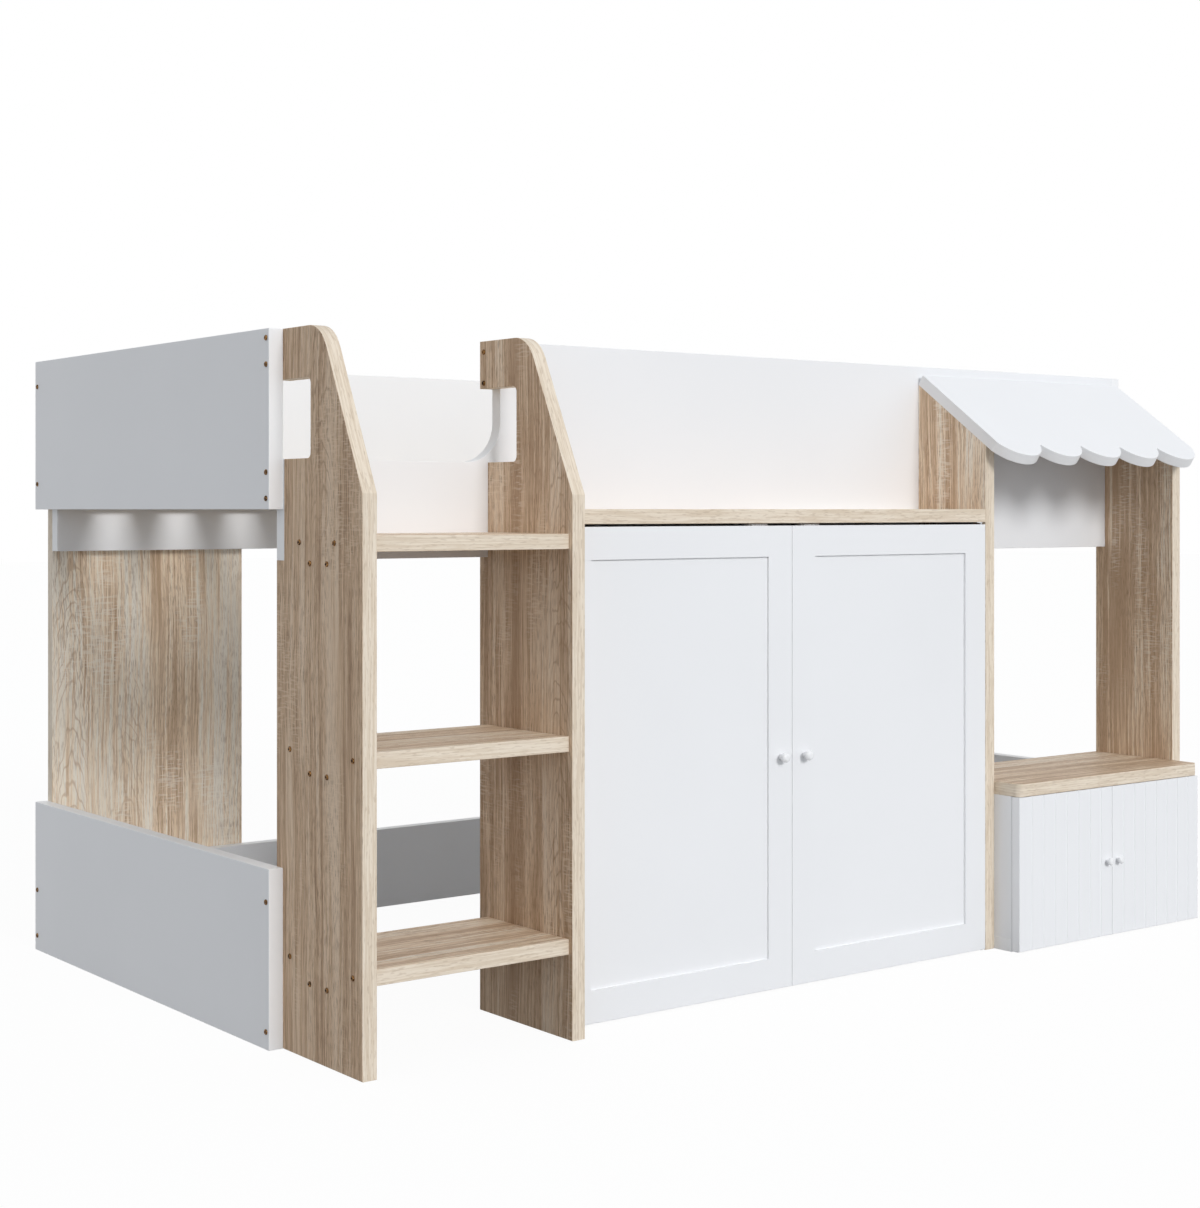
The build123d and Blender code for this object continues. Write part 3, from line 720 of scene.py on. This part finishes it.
# Nuts and small screws that hold the angle brackets.
bracketPlan = {
    "thickness": 2.0,
    "leg": 24.0,
    "boltSpacing": 55.0,
    "boltDrop": 20.0,
    "screwSpread": 30.0,
    "screwShare": 0.62,
    "stepFace": 50.0,
    "stepSetback": -112.5,
    "stepUndersides": (138.0, 465.0, 792.0),
    "cupboardFaces": ((433.0, 1), (1435.0, -1)),
    "cupboardRows": ((-107.0, 831.5), (-66.0, 404.0)),
}


def makeBracketFixings():
    plan = bracketPlan
    face, setback = plan["stepFace"], plan["stepSetback"]
    thickness, leg = plan["thickness"], plan["leg"]
    screwReach = leg * plan["screwShare"]
    corners = []
    for number, under in enumerate(plan["stepUndersides"], 1):
        nuts = pairOf(nutInto, 0, plan["boltSpacing"] / 2)
        place = (face + thickness, setback, under - plan["boltDrop"])
        placeFitting("stepNuts%d" % number, nuts, place, (1, 0, 0))
        corners.append((face, 1, setback, under))
    for setback, under in plan["cupboardRows"]:
        for face, inward in plan["cupboardFaces"]:
            corners.append((face, inward, setback, under))
    for number, (face, inward, setback, under) in enumerate(corners, 1):
        heads = pairOf(screwHeadInto, 0, plan["screwSpread"])
        place = (face + inward * screwReach, setback, under - thickness)
        placeFitting("bracketScrews%d" % number, heads, place, (0, 0, -1))
        if number > len(plan["stepUndersides"]):
            sideHeads = pairOf(screwHeadInto, 0, plan["screwSpread"])
            place = (face + inward * thickness, setback, under - screwReach)
            placeFitting("bracketSideScrews%d" % number, sideHeads, place, (inward, 0, 0))


makeCatches()
makeBracketFixings()
print("loft bed: catches, strike plates, nuts and small screws in place")


# Floor, light and camera.
floorLook = {"size": 60.0, "drop": 0.0005, "diffuse": 0.35, "seenDiffuse": 1.0, "glow": 0.95}
lightPlan = {
    "horizon": 0.84,
    "zenith": 0.52,
    "tint": (0.93, 0.96, 1.0),
    "frontLamp": {"strength": 1.56, "softness": 17.0, "height": 22.0, "turn": 0.0},
}
cameraView = {
    "place": (-2.5518, -3.3440, 0.8556),
    "turn": 38.848,
    "lens": 61.91,
    "shift": (-0.0855, -0.0781),
    "sensor": 36.0,
    "farthest": 200.0,
}
white = (1.0, 1.0, 1.0, 1.0)


def seenShare(tree):
    # 1 where the camera looks, straight or by way of a glossy or clear surface
    path = add(tree, "ShaderNodeLightPath")
    seen = maths(tree, "MAXIMUM", path.outputs["Is Camera Ray"], path.outputs["Is Glossy Ray"])
    return maths(tree, "MAXIMUM", seen, path.outputs["Is Transmission Ray"])


def makeFloor():
    material, tree = newMaterial("studioFloor")
    seen = seenShare(tree)
    grey = mixColour(tree, seen, (floorLook["diffuse"],) * 3, (floorLook["seenDiffuse"],) * 3)
    matte = add(tree, "ShaderNodeBsdfDiffuse", {"Color": grey})
    glow = add(tree, "ShaderNodeEmission", {"Color": white, "Strength": 1.0})
    share = maths(tree, "MULTIPLY", seen, floorLook["glow"])
    mixed = add(tree, "ShaderNodeMixShader", {0: share, 1: matte.outputs[0], 2: glow.outputs[0]})
    output = add(tree, "ShaderNodeOutputMaterial")
    tree.links.new(mixed.outputs[0], output.inputs["Surface"])
    mesh = bpy.data.meshes.new("studioFloor")
    half = floorLook["size"] / 2
    corners = [(-half, -half), (half, -half), (half, half), (-half, half)]
    mesh.from_pydata([(x, y, -floorLook["drop"]) for x, y in corners], [], [(0, 1, 2, 3)])
    mesh.materials.append(material)
    floor = bpy.data.objects.new("studioFloor", mesh)
    bpy.context.scene.collection.objects.link(floor)


def makeWorld():
    world = bpy.data.worlds.new("studioWorld")
    bpy.context.scene.world = world
    world.use_nodes = True
    tree = world.node_tree
    tree.nodes.clear()
    direction = add(tree, "ShaderNodeTexCoord").outputs["Generated"]
    up = add(tree, "ShaderNodeSeparateXYZ", {0: direction}).outputs[2]
    level = smooth(tree, up, 0.0, 1.0, lightPlan["horizon"], lightPlan["zenith"])
    soft = add(tree, "ShaderNodeBackground", {"Color": (*lightPlan["tint"], 1.0), "Strength": level})
    clear = add(tree, "ShaderNodeBackground", {"Color": white, "Strength": 1.0})
    mixed = add(tree, "ShaderNodeMixShader", {0: seenShare(tree), 1: soft.outputs[0], 2: clear.outputs[0]})
    output = add(tree, "ShaderNodeOutputWorld")
    tree.links.new(mixed.outputs[0], output.inputs["Surface"])


def makeLamp():
    plan = lightPlan["frontLamp"]
    lamp = bpy.data.lights.new("frontLamp", "SUN")
    lamp.energy = plan["strength"]
    lamp.angle = math.radians(plan["softness"])
    lampObject = bpy.data.objects.new("frontLamp", lamp)
    lampObject.rotation_euler = (math.radians(90.0 - plan["height"]), 0.0, math.radians(plan["turn"]))
    bpy.context.scene.collection.objects.link(lampObject)


def makeCamera():
    camera = bpy.data.cameras.new("bedCamera")
    camera.lens = cameraView["lens"]
    camera.sensor_width = cameraView["sensor"]
    camera.shift_x, camera.shift_y = cameraView["shift"]
    camera.clip_end = cameraView["farthest"]
    camera.dof.use_dof = False
    cameraObject = bpy.data.objects.new("bedCamera", camera)
    cameraObject.location = cameraView["place"]
    cameraObject.rotation_euler = (math.radians(90), 0.0, -math.radians(cameraView["turn"]))
    bpy.context.scene.collection.objects.link(cameraObject)
    bpy.context.scene.camera = cameraObject


makeFloor()
makeWorld()
makeLamp()
makeCamera()
bpy.context.scene.view_settings.view_transform = "Standard"
print("loft bed: studio and camera set")
